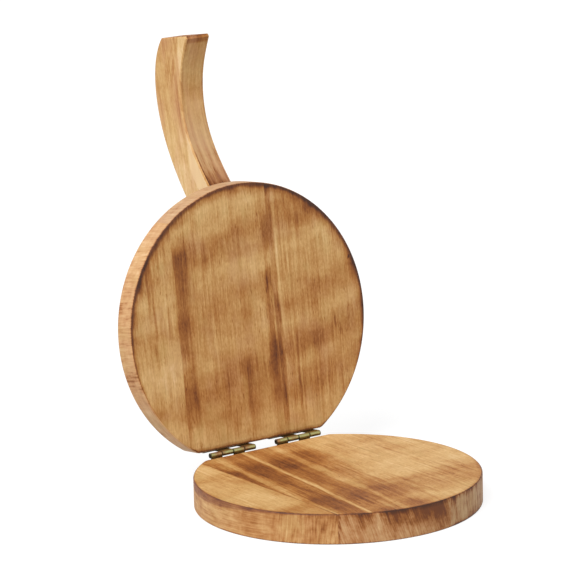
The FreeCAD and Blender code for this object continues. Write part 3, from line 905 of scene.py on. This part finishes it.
# Roughness of the brass, and what its clouds and the joints between the knuckles add
BRASS_ROUGHNESS, CLOUD_ROUGHNESS, JOINT_ROUGHNESS = 0.36, 0.14, 0.2
BRASS_SCRATCHES = Texture((3.0, 0.25, 0.25), seed=5)
BRASS_RELIEF_MM = 0.03

PLAIN_CLOUDS = Texture((1.5, 1.5, 1.5), seed=9, detail=3)
PLAIN_CLOUD_LEVELS = (-0.4, 0.5)
PLAIN_ROUGHNESS, PLAIN_CLOUD_ROUGHNESS = 0.3, 0.15
PLAIN_RELIEF_MM = 0.02
STEEL_DARK, STEEL_BRIGHT = srgb(120, 116, 110), srgb(176, 172, 164)
PIN_DARK, PIN_BRIGHT = srgb(46, 38, 32), srgb(84, 74, 64)


def hinge_brass(leaf):
    """Antique brass: dark olive patina, a painted highlight on the barrels' side that faces up and
    to the front, and painted shade where the knuckles meet.
    """
    shader = Shader(f"antique_brass_{leaf}")
    on_lid = "lid_leaf" in leaf
    low, high = closed_span((leaf,), closing_turn() if on_lid else Matrix.Identity(4))
    place = shader.closed_point(on_lid)
    x, y, z = shader.axes(place)
    cloud = shader.noise(place, BRASS_CLOUDS)

    # How far the barrel faces the side with the painted highlight
    highlight_side = closing_turn().to_3x3() @ PAINTED_HIGHLIGHT_SIDE if on_lid else PAINTED_HIGHLIGHT_SIDE
    axis = HINGE * MM
    offset = shader.point(0.0, shader.minus(y, axis.y), shader.minus(z, axis.z))
    inputs = {0: offset, 1: highlight_side}
    toward_highlight = shader.node("ShaderNodeVectorMath", inputs, operation="DOT_PRODUCT")
    toward_highlight = shader.add(shader.times(toward_highlight.outputs["Value"], 1 / BARREL_RADIUS),
                        shader.times(cloud, PAINTED_HIGHLIGHT_RAGGED))
    painted_highlight = shader.fade(toward_highlight, *PAINTED_HIGHLIGHT_EDGE)

    # How far along the barrel the nearest joint is
    pitch = (high.x - low.x + KNUCKLE_GAP) / KNUCKLES
    along = shader.add(x, KNUCKLE_GAP / 2 - low.x)
    from_joint = shader.math("PINGPONG", along, pitch / 2)
    # Painted shade where the knuckles meet
    joint_shade = shader.fade(shader.add(from_joint, shader.times(cloud, JOINT_SHADE_RAGGED)), *JOINT_SHADE_EDGE)

    # bright is the painted highlight's colour, yellower or redder from knuckle to knuckle, laid
    # over the patina
    knuckle = shader.fade(shader.noise(place, PAINTED_HIGHLIGHT_KNUCKLES), *PAINTED_HIGHLIGHT_LEVELS)
    bright = shader.mix(knuckle, PAINTED_HIGHLIGHT_YELLOW, PAINTED_HIGHLIGHT_RED)
    patina = shader.mix(shader.fade(cloud, *BRASS_CLOUD_LEVELS), BRASS_DARK, BRASS_PATINA)
    colour = shader.mix(painted_highlight, patina, bright)
    # The painted shade where the knuckles meet
    colour = shader.mix(shader.times(joint_shade, JOINT_SHADE_SHARE), colour, JOINT_SHADE_COLOUR)
    roughness = shader.add(BRASS_ROUGHNESS, shader.times(cloud, CLOUD_ROUGHNESS),
                           shader.times(joint_shade, JOINT_ROUGHNESS))
    scratches = shader.bump(shader.noise(place, BRASS_SCRATCHES), BRASS_RELIEF_MM)
    return shader.finish(Base_Color=colour, Metallic=1.0, Roughness=roughness, Normal=scratches)


def plain_metal(name, dark, bright):
    """Plain metal with a slightly cloudy surface."""
    shader = Shader(name)
    place = shader.closed_point(False)
    cloud = shader.fade(shader.noise(place, PLAIN_CLOUDS), *PLAIN_CLOUD_LEVELS)
    roughness = shader.add(PLAIN_ROUGHNESS, shader.times(cloud, PLAIN_CLOUD_ROUGHNESS))
    return shader.finish(Base_Color=shader.mix(cloud, dark, bright), Metallic=1.0,
                         Roughness=roughness, Normal=shader.bump(cloud, PLAIN_RELIEF_MM))


def dress():
    """Gives every piece of the frame its material."""
    leaf_screw = plain_metal("leaf_screw_brass", BRASS_DARK, BRASS_SCREW)
    handle_screw = plain_metal("screw_steel", STEEL_DARK, STEEL_BRIGHT)
    pin = plain_metal("pin_steel", PIN_DARK, PIN_BRIGHT)
    handle = handle_wood()
    for name, node in frame["nodes"].items():
        if name in STAVES:
            material = board_stave(name, STAVES[name])
        elif name == "handle":
            material = handle
        elif name.endswith("_pin"):
            material = pin
        elif name.startswith("handle_screw"):
            material = handle_screw
        elif name.endswith("_leaf"):
            material = hinge_brass(name)
        else:
            material = leaf_screw
        node.data.materials.clear()
        node.data.materials.append(material)


# Studio

# The camera's angles in radians, its lens and sensor in millimetres, and its target, distance
# and reach in metres
CAMERA_AZIMUTH = -0.61033
CAMERA_ELEVATION = 0.23426
CAMERA_ROLL = -0.02400
CAMERA_TARGET = Vector((0.0, 0.05037, 0.13101))
CAMERA_DISTANCE = 2.43952
CAMERA_LENS = 238.404
CAMERA_SENSOR = 36
CAMERA_REACH = 50

# The floor: its size in metres, its colour to the light, and its colour and glow where it is seen,
# which together are white and keep the shadow
FLOOR_SIZE = 16
FLOOR_BOUNCE = grey(0.6)
FLOOR_SHADED = grey(0.24)
FLOOR_GLOW = 0.86

# The room's level as light and in reflections. The camera sees it white
ROOM_LIGHT = 0.336
ROOM_REFLECTED = 0.8


def add_camera():
    """The photograph's viewpoint."""
    azimuth, elevation, roll = CAMERA_AZIMUTH, CAMERA_ELEVATION, CAMERA_ROLL
    back = Vector((sin(azimuth) * cos(elevation), -cos(azimuth) * cos(elevation), sin(elevation)))
    level = (-back).cross(Vector((0, 0, 1))).normalized()
    upright = level.cross(-back)
    across = cos(roll) * level + sin(roll) * upright
    up = cos(roll) * upright - sin(roll) * level
    data = bpy.data.cameras.new("camera")
    data.sensor_width = CAMERA_SENSOR
    data.lens = CAMERA_LENS
    data.clip_end = CAMERA_REACH
    camera = bpy.data.objects.new("camera", data)
    bpy.context.scene.collection.objects.link(camera)
    axes = Matrix((across, up, back)).transposed().to_4x4()
    camera.matrix_world = Matrix.Translation(CAMERA_TARGET + back * CAMERA_DISTANCE) @ axes
    bpy.context.scene.camera = camera


def add_floor():
    """A white floor that keeps the object's soft shadow."""
    bpy.ops.mesh.primitive_plane_add(size=FLOOR_SIZE)
    floor = bpy.context.object
    floor.name = "floor"
    shader = Shader("floor")
    seen = shader.seen()
    colour = shader.mix(seen, FLOOR_BOUNCE, FLOOR_SHADED)
    plain = shader.node("ShaderNodeBsdfDiffuse", {"Color": colour})
    glow = shader.node("ShaderNodeEmission", {"Strength": shader.times(seen, FLOOR_GLOW)})
    both = shader.node("ShaderNodeAddShader", {0: plain.outputs[0], 1: glow.outputs[0]})
    shader.node("ShaderNodeOutputMaterial", {"Surface": both.outputs[0]})
    floor.data.materials.append(shader.material)


def add_sun(name, towards_light, strength, spread_degrees):
    """A broad distant lamp."""
    data = bpy.data.lights.new(name, "SUN")
    data.energy = strength
    data.angle = radians(spread_degrees)
    sun = bpy.data.objects.new(name, data)
    bpy.context.scene.collection.objects.link(sun)
    sun.rotation_mode = "QUATERNION"
    sun.rotation_quaternion = Vector(towards_light).to_track_quat("Z", "Y")


def add_light():
    """An even white room, with a soft key from the upper left."""
    world = bpy.data.worlds.new("studio")
    world.use_nodes = True
    bpy.context.scene.world = world
    nodes = Nodes(world.node_tree)
    level = nodes.between(nodes.seen(), ROOM_LIGHT, ROOM_REFLECTED)
    to_camera = nodes.node("ShaderNodeLightPath").outputs["Is Camera Ray"]
    inputs = {"Color": grey(1.0), "Strength": nodes.greater(level, to_camera)}
    background = nodes.node("ShaderNodeBackground", inputs)
    nodes.node("ShaderNodeOutputWorld", {"Surface": background.outputs[0]})
    add_sun("key", towards_light=(-0.62, -0.25, 0.74), strength=2.7, spread_degrees=35)
    add_sun("fill", towards_light=(0.3, -0.9, 0.35), strength=0.4, spread_degrees=60)


dress()
add_camera()
add_floor()
add_light()
bpy.context.scene.view_settings.view_transform = "Standard"
